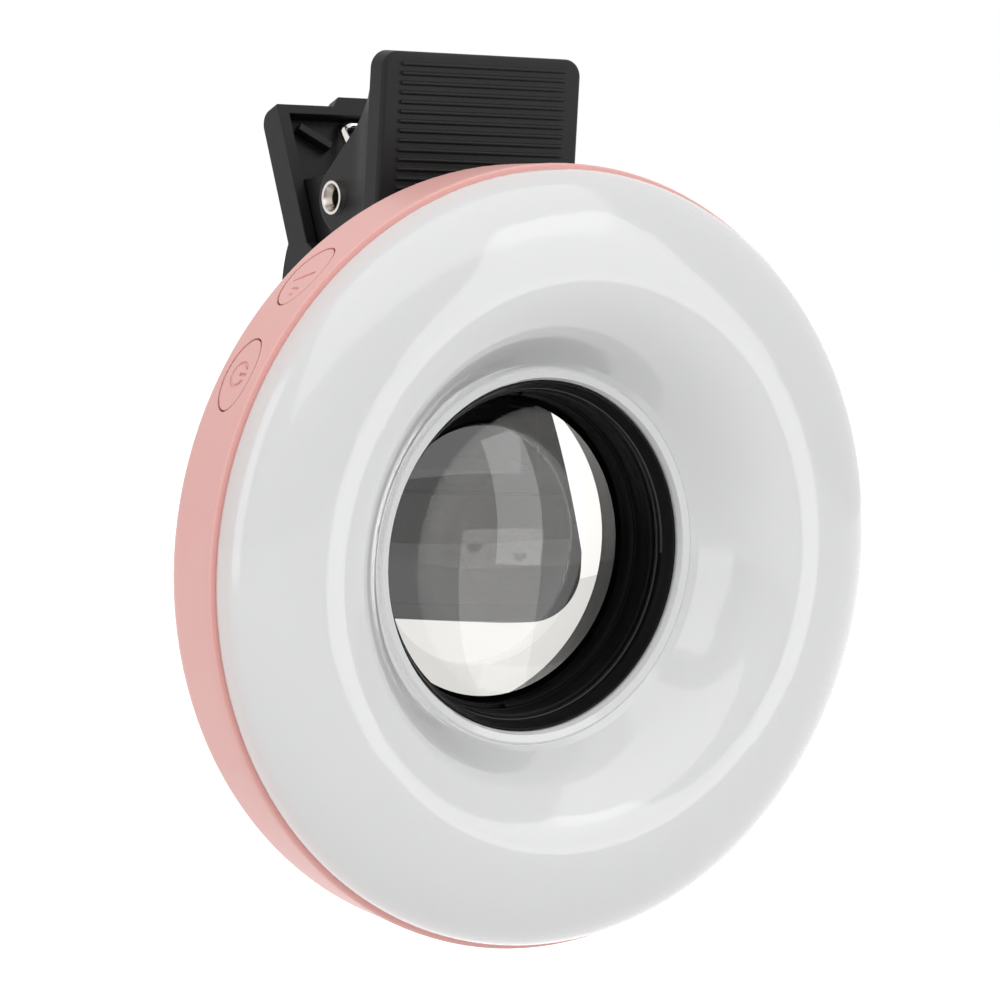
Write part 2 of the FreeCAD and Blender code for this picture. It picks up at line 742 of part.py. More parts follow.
def button_opening(degrees):
    hole = oval(button_length + 2 * button_gap, button_width + 2 * button_gap, rim_inner_r - 3, rim_r + 2)
    return to_rim(hole, degrees, button_y)


def usb_centre_y():
    return board_back_y + usb_height / 2


def make_housing():
    shell = housing_shell()
    bosses = []
    holes = []
    for x, z in screw_places(cover_screw_circle_r, cover_screw_count, cover_screw_first_deg):
        bosses.append(disc(boss_r, board_back_y, rear_wall_inner_y + boss_overlap, x, z))
        holes.append(disc(cover_screw_r + screw_clearance, board_back_y - 1, housing_rear_y + 1, x, z))
        holes.append(disc(cover_screw_head_r + screw_clearance, housing_rear_y - cover_screw_recess,
                          housing_rear_y + 1, x, z))
    for x, z in screw_places(flange_screw_circle_r, flange_screw_count, flange_screw_first_deg):
        boss_front_y = housing_rear_y - (flange_screw_length - barrel_flange_thickness) - 0.8
        bosses.append(disc(boss_r - 0.4, boss_front_y, rear_wall_inner_y + boss_overlap, x, z))
        holes.append(disc(flange_screw_r + 0.01, boss_front_y + 0.4, housing_rear_y + 1, x, z))
    shell = fused([shell] + bosses)
    usb_slot = stadium(usb_length + 2 * usb_slot_gap, usb_height + 2 * usb_slot_gap, rim_inner_r - 3, rim_r + 2)
    openings = [button_opening(power_button_deg), button_opening(mode_button_deg),
                to_rim(usb_slot, usb_deg, usb_centre_y())]
    return shell.cut(holes).cut(openings)


def dome_section(inset):
    """Points of the dome from its widest ring over the crest to the lip, sunk by an inset."""
    wide = seam_r + dome_bulge - dome_crest_r
    tall = dome_height - dome_bulge_height
    outer = []
    for degrees in (0, 18, 36, 54, 72):
        u = math.radians(degrees)
        normal = vec(math.cos(u) / wide, -math.sin(u) / tall, 0).normalize()
        outer.append((dome_crest_r + wide * math.cos(u) - inset * normal.x,
                      dome_bulge_y - tall * math.sin(u) - inset * normal.y))
    crest = (dome_crest_r, seam_y - dome_height + inset)
    throat = dome_hole_r + lip_width
    fall = dome_height + lip_depth - 0.6
    reach = dome_crest_r - throat
    inner = []
    for along, down, lean in ((0.27, 0.07, 24), (0.50, 0.25, 42), (0.68, 0.49, 53), (0.82, 0.73, 52), (0.94, 0.94, 42)):
        angle = math.radians(lean)
        inner.append((dome_crest_r - reach * along + inset * math.sin(angle),
                      seam_y - dome_height + fall * down + inset * math.cos(angle)))
    return outer + [crest] + inner


def make_diffuser():
    throat = dome_hole_r + lip_width
    lip_y = seam_y + lip_depth
    outer = dome_section(0)
    inner = dome_section(dome_wall)
    seam_face_y = seam_y
    outer_curve = Part.BSplineCurve()
    outer_curve.interpolate([along_axis(point) for point in outer])
    root_r = seam_r - dome_root_gap
    root = Part.Arc(along_axis((root_r, seam_y)), along_axis((root_r + 0.72 * (outer[0][0] - root_r),
                    seam_y - 0.4 * dome_bulge_height)), along_axis(outer[0]))
    inner_curve = Part.BSplineCurve()
    inner_curve.interpolate([along_axis(point) for point in reversed(inner[1:])])
    corner = [(outer[-1][0], outer[-1][1]), (throat, lip_y - 0.35), (throat - 0.25, lip_y - 0.5),
              (dome_hole_r + lip_round, lip_y - 0.3), (dome_hole_r, lip_y + lip_round),
              (dome_hole_r, collar_front_y), (collar_r, collar_front_y), (collar_r, lip_y + dome_wall * 0.5),
              (inner[-1][0], inner[-1][1])]
    skirt_inner_r = skirt_outer_r - skirt_wall
    foot = [(inner[1][0], inner[1][1]), (skirt_inner_r, seam_face_y + 0.2), (skirt_inner_r, seam_y + skirt_depth),
            (skirt_outer_r, seam_y + skirt_depth), (skirt_outer_r, seam_face_y), (root_r, seam_face_y)]
    edges = [outer_curve.toShape(), root.toShape()]
    for chain in (corner, foot):
        for here, there in zip(chain, chain[1:]):
            edges.append(Part.LineSegment(along_axis(here), along_axis(there)).toShape())
        if chain is corner:
            edges.append(inner_curve.toShape())
    shell = Part.Face(Part.Wire(Part.__sortEdges__(edges))).revolve(vec(0, 0, 0), vec(0, 1, 0), 360)
    posts = []
    pilots = []
    for x, z in screw_places(cover_screw_circle_r, cover_screw_count, cover_screw_first_deg):
        posts.append(disc(diffuser_boss_r, seam_y - dome_height * 0.72, board_front_y, x, z))
        pilots.append(disc(cover_screw_r + 0.01, board_front_y - cover_screw_bite - 0.4, board_front_y + 1, x, z))
    return fused([shell] + posts).cut(pilots)


def make_led_board():
    board = tube(board_outer_r, board_inner_r, board_front_y, board_back_y)
    holes = [disc(cover_screw_r + screw_clearance, board_front_y - 1, board_back_y + 1, x, z)
             for x, z in screw_places(cover_screw_circle_r, cover_screw_count, cover_screw_first_deg)]
    return board.cut(holes)


def make_led_array():
    leds = []
    for k in range(led_count):
        led = block(led_circle_r - led_width / 2, led_circle_r + led_width / 2, board_front_y - led_height,
                    board_front_y, -led_length / 2, led_length / 2)
        led.rotate(vec(0, 0, 0), vec(0, 1, 0), 360.0 * k / led_count)
        leds.append(led)
    return Part.makeCompound(leds)


def make_board_parts():
    """Charging chip, lamp driver, coil and capacitors on the back of the board, near the socket."""
    parts = []
    unit = board_part_unit
    for degrees, share, long_side, short_side, height in board_part_sizes:
        half_short = short_side * unit / 2
        half_long = long_side * unit / 2
        part = block(-half_short, half_short, 0, height * unit, -half_long, half_long)
        part.translate(vec(board_inner_r + share * (board_outer_r - board_inner_r), 0, 0))
        parts.append(to_rim(part, degrees, board_back_y))
    return Part.makeCompound(parts)


def make_battery():
    back_y = rear_wall_inner_y - tape_thickness
    half = battery_length / 2
    low = battery_centre_z - battery_width / 2
    cell = block(-half, half, back_y - battery_thickness, back_y, low, low + battery_width)
    return cell.makeFillet(0.8, [edge for edge in cell.Edges if edge.BoundBox.XLength > 1])


def make_battery_tape():
    half = battery_length / 2 - 2
    low = battery_centre_z - battery_width / 2 + 1.5
    return block(-half, half, rear_wall_inner_y - tape_thickness, rear_wall_inner_y, low, low + battery_width - 3)


def make_battery_leads():
    start_x = battery_length / 2
    y = rear_wall_inner_y - tape_thickness - battery_thickness / 2
    leads = []
    for side in (-0.5, 0.5):
        z = battery_centre_z + lead_offset + side * lead_spacing
        bend_x = start_x + lead_run
        mid = lead_bend_r * (1 - math.sqrt(0.5))
        run = Part.LineSegment(vec(start_x, y, z), vec(bend_x, y, z)).toShape()
        bend = Part.Arc(vec(bend_x, y, z), vec(bend_x + lead_bend_r - mid, y - mid, z),
                        vec(bend_x + lead_bend_r, y - lead_bend_r, z)).toShape()
        rise = Part.LineSegment(vec(bend_x + lead_bend_r, y - lead_bend_r, z),
                                vec(bend_x + lead_bend_r, board_back_y, z)).toShape()
        path = Part.Wire([run, bend, rise])
        section = Part.Wire([Part.makeCircle(lead_r, vec(start_x, y, z), vec(1, 0, 0))])
        leads.append(path.makePipeShell([section], True, False, 2))
    return Part.makeCompound(leads)


def make_cover_screws():
    seat_y = housing_rear_y - cover_screw_recess
    screws = []
    for x, z in screw_places(cover_screw_circle_r, cover_screw_count, cover_screw_first_deg):
        shank = disc(cover_screw_r, board_front_y - cover_screw_bite, seat_y, x, z)
        head = disc(cover_screw_head_r, seat_y, seat_y + cover_screw_head_height, x, z)
        drive = block(x - 1.1, x + 1.1, seat_y + 0.5, seat_y + 3, z - 0.2, z + 0.2)
        cross = block(x - 0.2, x + 0.2, seat_y + 0.5, seat_y + 3, z - 1.1, z + 1.1)
        screws.append(fused([shank, head]).cut(fused([drive, cross])))
    return Part.makeCompound(screws)


def power_mark():
    """A ring open towards the light face with a bar in the gap."""
    inner = power_mark_r - mark_stroke / 2
    outer = power_mark_r + mark_stroke / 2
    low = rim_r - button_sink - mark_depth
    ring = Part.makeCylinder(outer, 3, vec(low, 0, 0), vec(1, 0, 0))
    ring = ring.cut(Part.makeCylinder(inner, 4, vec(low - 0.5, 0, 0), vec(1, 0, 0)))
    gap = block(low - 1, low + 4, -outer - 1, 0, -0.62, 0.62)
    bar = stadium(mark_stroke + 1.15, mark_stroke, low, low + 3)
    bar.rotate(vec(0, 0, 0), vec(1, 0, 0), 90)
    bar.translate(vec(0, -power_mark_r * 0.62, 0))
    return [ring.cut(gap), bar]


def mode_mark():
    """A long slanted bar, a short one and a dot, a plain sign for the level of light."""
    low = rim_r - button_sink - mark_depth
    bars = []
    for across, forward, length, turn in mode_mark_bars:
        bar = stadium(max(length, mark_stroke * 1.2), mark_stroke, low, low + 3)
        bar.rotate(vec(0, 0, 0), vec(1, 0, 0), 90 + turn)
        bar.translate(vec(0, forward, across))
        bars.append(bar)
    return bars


def rim_core(sink):
    """A solid that fills the rim's outline, sunk by a depth, to cut the buttons' faces to its taper."""
    straight_y = seam_y + rim_straight_depth
    round_y = housing_rear_y - rim_rear_round
    return turned([(0, seam_y), (rim_r - sink, seam_y), (rim_r - sink, straight_y), (rim_rear_r - sink, round_y),
                   (rim_rear_r - sink, housing_rear_y), (0, housing_rear_y)])


def button(degrees, marks):
    flange_r = rim_inner_r - button_flange_gap
    cap = oval(button_length, button_width, flange_r - button_flange_thickness, rim_r + 1)
    flange = stadium(button_length + 2 * button_flange_extra, button_flange_width, flange_r - 2, rim_r)
    flange = flange.common(tube(flange_r, flange_r - button_flange_thickness, -rim_depth, rim_depth))
    stem_from = switch_tip_reach() + button_travel + button_stem_gap
    stem = Part.makeCylinder(button_stem_r, rim_rear_r - 1 - stem_from, vec(stem_from, 0, 0), vec(1, 0, 0))
    placed = to_rim(fused([cap, flange, stem]).cut(marks), degrees, button_y)
    return placed.common(rim_core(button_sink))


def switch_tip_reach():
    return rim_inner_r - button_flange_gap - button_flange_thickness - button_travel - 0.9


def tact_switch(degrees):
    """A side-press switch on the back of the board, its tip towards the button."""
    body_r = switch_tip_reach() - switch_tip_length
    body = block(body_r - switch_depth, body_r, 0, switch_height, -switch_length / 2, switch_length / 2)
    moved = to_rim(body, degrees, board_back_y)
    tip = Part.makeCylinder(switch_tip_r, switch_tip_length + 0.2, vec(body_r - 0.2, 0, 0), vec(1, 0, 0))
    return fused([moved, to_rim(tip, degrees, button_y)])


def make_usb_port():
    outer_r = rim_r - usb_recess
    shell = stadium(usb_length, usb_height, outer_r - usb_depth, outer_r)
    cavity = stadium(usb_length - 2 * usb_wall, usb_height - 2 * usb_wall, outer_r - usb_depth + 0.8, outer_r + 1)
    tongue = block(outer_r - usb_depth + 0.5, outer_r - 0.8, -usb_tongue_thickness / 2, usb_tongue_thickness / 2,
                   -usb_length * 0.27, usb_length * 0.27)
    return to_rim(fused([shell.cut(cavity), tongue]), usb_deg, usb_centre_y())


def build():
    return {
        "front_lever": make_front_lever(),
        "front_pad": make_front_pad(),
        "pivot_pin": make_pivot_pin(),
        "torsion_spring": make_torsion_spring(),
        "rear_lever": make_rear_lever(),
        "rear_pad": make_rear_pad(),
        "thread_washer": make_thread_washer(),
        "lens_barrel": make_lens_barrel(),
        "lens_glass": make_lens_glass(),
        "lens_retainer": make_lens_retainer(),
        "barrel_screws": make_barrel_screws(),
        "housing": make_housing(),
        "diffuser": make_diffuser(),
        "led_board": make_led_board(),
        "led_array": make_led_array(),
        "board_parts": make_board_parts(),
        "battery": make_battery(),
        "battery_tape": make_battery_tape(),
        "battery_leads": make_battery_leads(),
        "cover_screws": make_cover_screws(),
        "power_button": button(power_button_deg, power_mark()),
        "mode_button": button(mode_button_deg, mode_mark()),
        "power_switch": tact_switch(power_button_deg),
        "mode_switch": tact_switch(mode_button_deg),
        "usb_port": make_usb_port(),
    }


os.makedirs("parts", exist_ok=True)
for node, shape in build().items():
    shape.exportStep("parts/" + node + ".step")
    print(node, "solids", len(shape.Solids), "volume", round(shape.Volume, 2), "valid", shape.isValid())
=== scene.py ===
"""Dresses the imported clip-on macro lens with its ring light and sets the studio around it.

All sizes are in metres. The lens axis lies along Y, the light faces -Y and +Z is up.
"""

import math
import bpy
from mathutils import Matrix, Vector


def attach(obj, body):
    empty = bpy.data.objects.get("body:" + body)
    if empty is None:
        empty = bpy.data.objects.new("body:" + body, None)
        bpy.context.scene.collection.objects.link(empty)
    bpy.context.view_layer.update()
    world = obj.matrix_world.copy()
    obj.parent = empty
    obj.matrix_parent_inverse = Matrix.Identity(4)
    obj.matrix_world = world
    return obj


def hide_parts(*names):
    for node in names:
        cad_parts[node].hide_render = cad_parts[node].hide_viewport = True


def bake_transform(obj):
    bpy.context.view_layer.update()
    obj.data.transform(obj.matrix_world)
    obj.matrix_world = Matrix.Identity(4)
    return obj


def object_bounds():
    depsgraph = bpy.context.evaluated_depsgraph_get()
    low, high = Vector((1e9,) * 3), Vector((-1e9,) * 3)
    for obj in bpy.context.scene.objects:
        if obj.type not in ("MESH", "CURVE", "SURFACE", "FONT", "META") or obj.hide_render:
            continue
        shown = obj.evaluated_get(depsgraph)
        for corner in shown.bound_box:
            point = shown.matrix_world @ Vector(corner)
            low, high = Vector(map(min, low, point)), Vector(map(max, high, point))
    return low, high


bl_info = {
    "name": "Ring Light Macro Lens",
    "version": (1, 0, 0),
    "blender": (4, 5, 0),
    "location": "3D View > Sidebar > Macro Lens",
    "description": "Finishes, clip spring, filter thread and studio for a clip-on macro lens "
                   "with a ring light",
    "category": "Object",
}

from typing import NamedTuple

import bmesh
import bpy
from bpy.props import FloatProperty, FloatVectorProperty, IntProperty, PointerProperty
from mathutils import Matrix, Vector

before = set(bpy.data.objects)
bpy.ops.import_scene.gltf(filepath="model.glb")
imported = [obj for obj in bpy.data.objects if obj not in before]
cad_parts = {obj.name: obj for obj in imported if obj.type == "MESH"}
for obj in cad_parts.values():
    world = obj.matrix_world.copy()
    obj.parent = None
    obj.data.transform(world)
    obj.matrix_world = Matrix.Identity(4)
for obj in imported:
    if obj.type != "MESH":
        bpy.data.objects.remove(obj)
cad_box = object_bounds()

MM = 0.001

# The spring's path: points in one turn of a coil, then on the loop, each bend and each run
POINTS_PER_TURN = 40
LOOP_POINTS = 4
BEND_POINTS = 10
DOWN_POINTS = 8
LEG_POINTS = 6
# Rings of a wire's domed end, as shares of the wire's radius
DOME_RINGS = (0.30, 0.62, 0.88)
# Points closer than this are one point
MERGE_DISTANCE = 1e-7
# Squeezes the triangle that the thread's ridge is swept from
RIDGE_SQUEEZE = (1.0, 0.62, 1.0)

# Distances from the lens axis between which the diffuser takes on a painted pink reflection of the
# rim
RIM_REFLECTION_START = 0.0418
RIM_REFLECTION_FULL = 0.0428
# How bright the diffuser's deeper white is beside its main one
DIFFUSER_DRIFT = 0.975

# The camera that fits the photograph: its place, and where its axes point
CAMERA_PLACE = Vector((-0.318277, -0.466130, 0.055923))
CAMERA_RIGHT = Vector((0.82092198, -0.56846142, 0.05420997))
CAMERA_UP = Vector((0.00723328, 0.10527586, 0.99441675))
CAMERA_AHEAD = Vector((0.57099456, 0.81594645, -0.09053511))
SENSOR_WIDTH_MM = 36.0
CLIP_START = 0.02
CLIP_END = 50.0

# Glow of the floor beside the backdrop's, and the point that the lamps face
FLOOR_GLOW = 0.85
LIT_POINT = Vector((0, -0.018, 0))


class Lamp(NamedTuple):
    """An area lamp of a given surface brightness. Without lights it only shows in gloss."""

    name: str
    place: Vector
    width: float
    height: float
    brightness: float
    lights: bool = True


LEFT = Vector((-1.12, -0.38, 0.25))
TOP = Vector((0.07, -0.78, 0.90))
RIGHT = Vector((0.69, -1.0, 0.0))
LAMPS = (
    Lamp("lamp_left", LEFT, width=0.45, height=1.1, brightness=1.3),
    Lamp("lamp_top", TOP, width=1.6, height=1.2, brightness=0.85),
    Lamp("strip_left", LEFT, width=0.45, height=1.3, brightness=0.4, lights=False),
    Lamp("strip_right", RIGHT, width=0.45, height=1.6, brightness=1.5, lights=False),
)


class Grain(NamedTuple):
    """Moulded grain: cells in a metre, depth in metres and the share of rounded cells."""

    cells: float
    depth: float
    rounded: float


class Rings(NamedTuple):
    """Turned rings: spacing and depth in metres."""

    spacing: float
    depth: float


# Settings that a user would change


def length(name, description, default_mm):
    """A length that shows in scene units and is given here in millimetres."""
    return FloatProperty(name=name, description=description, default=default_mm * MM, min=0.0,
                         precision=5, subtype="DISTANCE", unit="LENGTH")


def colour(name, description, default):
    """A colour without alpha."""
    return FloatVectorProperty(name=name, description=description, default=default, size=3,
                               min=0.0, max=1.0, subtype="COLOR")


class SpringSizes(bpy.types.PropertyGroup):
    """Sizes of the clip's double torsion spring, which match the solid that it stands for."""

    wire: length("Wire diameter", "Thickness of the spring wire", 1.1)
    coil: length("Coil radius", "Radius of a coil, to the middle of the wire", 3.0)
    pitch: length("Coil pitch", "Advance of a coil in one turn", 1.18)
    start: length("Coil start", "Distance of each coil's first turn from the middle plane", 4.5)
    turns: IntProperty(name="Whole turns", description="Whole turns in each coil",
                       default=2, min=1)
    pivot_y: length("Pivot depth", "Distance of the pivot behind the front pad's face", 6.05)
    pivot_z: length("Pivot height", "Height of the pivot over the lens axis", 37.8)
    leg_y: length("Leg depth", "Distance of the free legs in front of the pad's face", 0.39)
    leg_z: length("Leg height", "Height of the free legs' ends", 48.0)
    loop_y: length("Loop depth", "Distance of the loop behind the front pad's face", 20.113)
    loop_z: length("Loop height", "Height of the loop", 45.6)
    bend: length("Loop bend", "Radius of the loop's two bends", 1.6)
    sides: IntProperty(name="Sides", description="Faces round the wire", default=18, min=6)


class ThreadSizes(bpy.types.PropertyGroup):
    """Sizes of the filter thread's ridges, inside the mouth of the lens barrel."""

    wall: length("Wall radius", "Radius of the wall that the ridges stand on", 18.5)
    mouth: length("Mouth depth", "Distance of the first ridge in front of the pad's face", 17.05)
    pitch: length("Pitch", "Advance of the thread in one turn", 0.75)
    turns: FloatProperty(name="Turns", description="Turns of the thread", default=1.45, min=0.5)
    height: length("Ridge height", "How far a ridge stands out of the wall", 0.36)
    steps: IntProperty(name="Steps", description="Steps in one turn", default=180, min=24)


class Finishes(bpy.types.PropertyGroup):
    """Colours and surface sizes of the finishes."""

    rim: colour("Rim", "Pink of the light's rim and buttons", (0.93, 0.51, 0.475))
    rim_shade: colour("Rim shade", "Slightly deeper pink that drifts over the rim",
                      (0.91, 0.485, 0.45))
    shell: colour("Diffuser", "White of the diffuser", (0.80, 0.80, 0.80))
    # Painted pink reflection of the rim on the diffuser's outer edge, not the diffuser's own
    # colour
    shell_rim_reflection: colour("Diffuser edge", "White of the diffuser where the rim shines through",
                       (0.81, 0.745, 0.735))
    clip: colour("Clip", "Black of the clip's plastic", (0.009, 0.009, 0.0092))
    clip_worn: colour("Clip edge", "Grey of the clip's rubbed edges", (0.04, 0.04, 0.041))
    barrel: colour("Barrel", "Black of the anodised barrel", (0.004, 0.004, 0.0042))
    plating: colour("Plating", "Nickel of the spring and the pivot pin", (0.72, 0.69, 0.65))
    grain: length("Grain", "Size of the moulded grain", 0.22)


class StudioSizes(bpy.types.PropertyGroup):
    """Camera, floor and even light."""

    focal: FloatProperty(name="Focal length", description="Focal length on a 36 mm wide sensor",
                         default=180.28, min=1.0, subtype="DISTANCE_CAMERA", unit="CAMERA")
    floor_drop: length("Floor drop", "Distance of the floor below the light's lowest point", 160.0)
    floor_size: length("Floor size", "Side of the square floor", 9000.0)
    sky: FloatProperty(name="Sky", description="Strength of the even light from all round",
                       default=0.62, min=0.0)
    backdrop: FloatProperty(name="Backdrop", description="Strength of the background that shows",
                            default=1.0, min=0.0)


GROUPS = {"lens_spring": SpringSizes, "lens_thread": ThreadSizes,
          "lens_finish": Finishes, "lens_studio": StudioSizes}


# Small helpers


def fresh_tree(owner):
    """Empties the node tree of a material or world and hands it back."""
    owner.use_nodes = True
    tree = owner.node_tree
    tree.nodes.clear()
    return tree


def node(tree, kind, values=None, **settings):
    """Adds a node, sets its fields, then its input values by socket name or number."""
    made = tree.nodes.new(kind)
    for field, value in settings.items():
        setattr(made, field, value)
    for key, value in (values or {}).items():
        made.inputs[key].default_value = value
    return made


def link(tree, start, end):
    tree.links.new(start, end)


def two_tones(tree, base, other):
    """A node that mixes two colours."""
    made = node(tree, "ShaderNodeMix", data_type="RGBA")
    made.inputs["A"].default_value = (*base, 1)
    made.inputs["B"].default_value = (*other, 1)
    return made


def new_group(name, inputs, outputs):
    """An empty shader node group with named sockets, its input node and its output node."""
    group = bpy.data.node_groups.new(name, "ShaderNodeTree")
    for label, kind, value in inputs:
        socket = group.interface.new_socket(name=label, in_out="INPUT",
                                            socket_type="NodeSocket" + kind)
        if value is not None:
            socket.default_value = value
    for label, kind in outputs:
        group.interface.new_socket(name=label, in_out="OUTPUT", socket_type="NodeSocket" + kind)
    return group, group.nodes.new("NodeGroupInput"), group.nodes.new("NodeGroupOutput")


def use_group(tree, name, **values):
    """Places a shader node group in a tree with its own input values."""
    made = tree.nodes.new("ShaderNodeGroup")
    made.node_tree = bpy.data.node_groups[name]
    for key, value in values.items():
        made.inputs[key].default_value = value
    return made


def add_object(name, data):
    """An object in the scene's own collection."""
    made = bpy.data.objects.new(name, data)
    bpy.context.scene.collection.objects.link(made)
    return made


def add_mesh(name, verts, faces, material, smooth=True):
    """A mesh object at the origin, made from points and faces in metres."""
    mesh = bpy.data.meshes.new(name)
    mesh.from_pydata([tuple(v) for v in verts], [], faces)
    mesh.validate()
    mesh.materials.append(material)
    for face in mesh.polygons:
        face.use_smooth = smooth
    return add_object(name, mesh)


def face_outwards(obj):
    """Merges doubles and turns every face outwards."""
    work = bmesh.new()
    work.from_mesh(obj.data)
    bmesh.ops.remove_doubles(work, verts=work.verts, dist=MERGE_DISTANCE)
    bmesh.ops.recalc_face_normals(work, faces=work.faces)
    work.to_mesh(obj.data)
    work.free()
    obj.data.update()


def swept_wire(path, radius, sides):
    """Points and faces of a round wire along a path, with domed ends."""
    count = len(path)
    tangents = [(path[min(k + 1, count - 1)] - path[max(k - 1, 0)]).normalized()
                for k in range(count)]
    first, last = tangents[0], tangents[-1]
    side = first.orthogonal().normalized()
    rings = []
    for scale in DOME_RINGS:
        rings.append((path[0] - first * radius * math.sqrt(1 - scale ** 2), first, side, scale))
    for point, tangent in zip(path, tangents):
        side = (side - tangent * side.dot(tangent)).normalized()
        rings.append((point, tangent, side, 1.0))
    for scale in reversed(DOME_RINGS):
        rings.append((path[-1] + last * radius * math.sqrt(1 - scale ** 2), last, side, scale))
    verts = []
    for centre, tangent, across, scale in rings:
        other = tangent.cross(across)
        for s in range(sides):
            turn = math.tau * s / sides
            around = across * math.cos(turn) + other * math.sin(turn)
            verts.append(centre + around * radius * scale)
    faces = []
    for r in range(len(rings) - 1):
        for s in range(sides):
            a = r * sides + s
            b = r * sides + (s + 1) % sides
            faces.append((a, b, b + sides, a + sides))
    for ring, tip in ((0, path[0] - first * radius), (len(rings) - 1, path[-1] + last * radius)):
        verts.append(tip)
        top = len(verts) - 1
        for s in range(sides):
            faces.append((ring * sides + s, ring * sides + (s + 1) % sides, top))
    return verts, faces


# Shader effects that several finishes share


def build_grain_group():
    """Fine moulded grain: a height for the bump and a tone that follows it."""
    group, source, result = new_group(
        "Moulded Grain",
        (("Vector", "Vector", None), ("Scale", "Float", 4000.0), ("Roughening", "Float", 0.5)),
        (("Height", "Float"), ("Tone", "Float")))
    fine = node(group, "ShaderNodeTexNoise", {"Detail": 3.0, "Roughness": 0.62})
    cells = node(group, "ShaderNodeTexVoronoi", feature="SMOOTH_F1")
    larger = node(group, "ShaderNodeMath", {1: 0.6}, operation="MULTIPLY")
    blend = node(group, "ShaderNodeMix", data_type="FLOAT")
    tone = node(group, "ShaderNodeMapRange", {"From Min": 0.25, "From Max": 0.75})
    link(group, source.outputs["Vector"], fine.inputs["Vector"])
    link(group, source.outputs["Vector"], cells.inputs["Vector"])
    link(group, source.outputs["Scale"], fine.inputs["Scale"])
    link(group, source.outputs["Scale"], larger.inputs[0])
    link(group, larger.outputs[0], cells.inputs["Scale"])
    link(group, source.outputs["Roughening"], blend.inputs["Factor"])
    link(group, fine.outputs["Fac"], blend.inputs["A"])
    link(group, cells.outputs["Distance"], blend.inputs["B"])
    link(group, blend.outputs["Result"], result.inputs["Height"])
    link(group, fine.outputs["Fac"], tone.inputs["Value"])
    link(group, tone.outputs["Result"], result.inputs["Tone"])


def build_edge_group():
    """Rounded edges: a softened normal, and a mask where an edge is rubbed."""
    group, source, result = new_group(
        "Soft Edges",
        (("Vector", "Vector", None), ("Radius", "Float", 0.0002), ("Rub", "Float", 1.0)),
        (("Normal", "Vector"), ("Mask", "Float")))
    bevel = node(group, "ShaderNodeBevel", samples=6)
    flat = node(group, "ShaderNodeNewGeometry")
    dot = node(group, "ShaderNodeVectorMath", operation="DOT_PRODUCT")
    bend = node(group, "ShaderNodeMapRange", {"From Min": 0.995, "From Max": 0.86})
    patches = node(group, "ShaderNodeTexNoise", {"Scale": 900.0, "Detail": 4.0})
    worn = node(group, "ShaderNodeMapRange", {"From Min": 0.35, "From Max": 0.75})
    both = node(group, "ShaderNodeMath", operation="MULTIPLY")
    amount = node(group, "ShaderNodeMath", operation="MULTIPLY", use_clamp=True)
    link(group, source.outputs["Radius"], bevel.inputs["Radius"])
    link(group, source.outputs["Vector"], patches.inputs["Vector"])
    link(group, bevel.outputs["Normal"], dot.inputs[0])
    link(group, flat.outputs["True Normal"], dot.inputs[1])
    link(group, dot.outputs["Value"], bend.inputs["Value"])
    link(group, patches.outputs["Fac"], worn.inputs["Value"])
    link(group, bend.outputs["Result"], both.inputs[0])
    link(group, worn.outputs["Result"], both.inputs[1])
    link(group, both.outputs[0], amount.inputs[0])
    link(group, source.outputs["Rub"], amount.inputs[1])
    link(group, bevel.outputs["Normal"], result.inputs["Normal"])
    link(group, amount.outputs[0], result.inputs["Mask"])


def build_handling_group():
    """Large soft smears of handling: a slow drift, and a roughness between two limits."""
    group, source, result = new_group(
        "Handling",
        (("Vector", "Vector", None), ("Scale", "Float", 60.0),
         ("Least", "Float", 0.3), ("Most", "Float", 0.4)),
        (("Drift", "Float"), ("Roughness", "Float")))
    slow = node(group, "ShaderNodeTexNoise", {"Detail": 2.0, "Roughness": 0.5, "Distortion": 0.6})
    fine = node(group, "ShaderNodeTexNoise", {"Detail": 5.0, "Roughness": 0.65})
    larger = node(group, "ShaderNodeMath", {1: 14.0}, operation="MULTIPLY")
    mix = node(group, "ShaderNodeMix", {"Factor": 0.35}, data_type="FLOAT")
    spread = node(group, "ShaderNodeMapRange", {"From Min": 0.3, "From Max": 0.7})
    link(group, source.outputs["Vector"], slow.inputs["Vector"])
    link(group, source.outputs["Vector"], fine.inputs["Vector"])
    link(group, source.outputs["Scale"], slow.inputs["Scale"])
    link(group, source.outputs["Scale"], larger.inputs[0])
    link(group, larger.outputs[0], fine.inputs["Scale"])
    link(group, slow.outputs["Fac"], mix.inputs["A"])
    link(group, fine.outputs["Fac"], mix.inputs["B"])
    link(group, mix.outputs["Result"], spread.inputs["Value"])
    link(group, source.outputs["Least"], spread.inputs["To Min"])
    link(group, source.outputs["Most"], spread.inputs["To Max"])
    link(group, slow.outputs["Fac"], result.inputs["Drift"])
    link(group, spread.outputs["Result"], result.inputs["Roughness"])


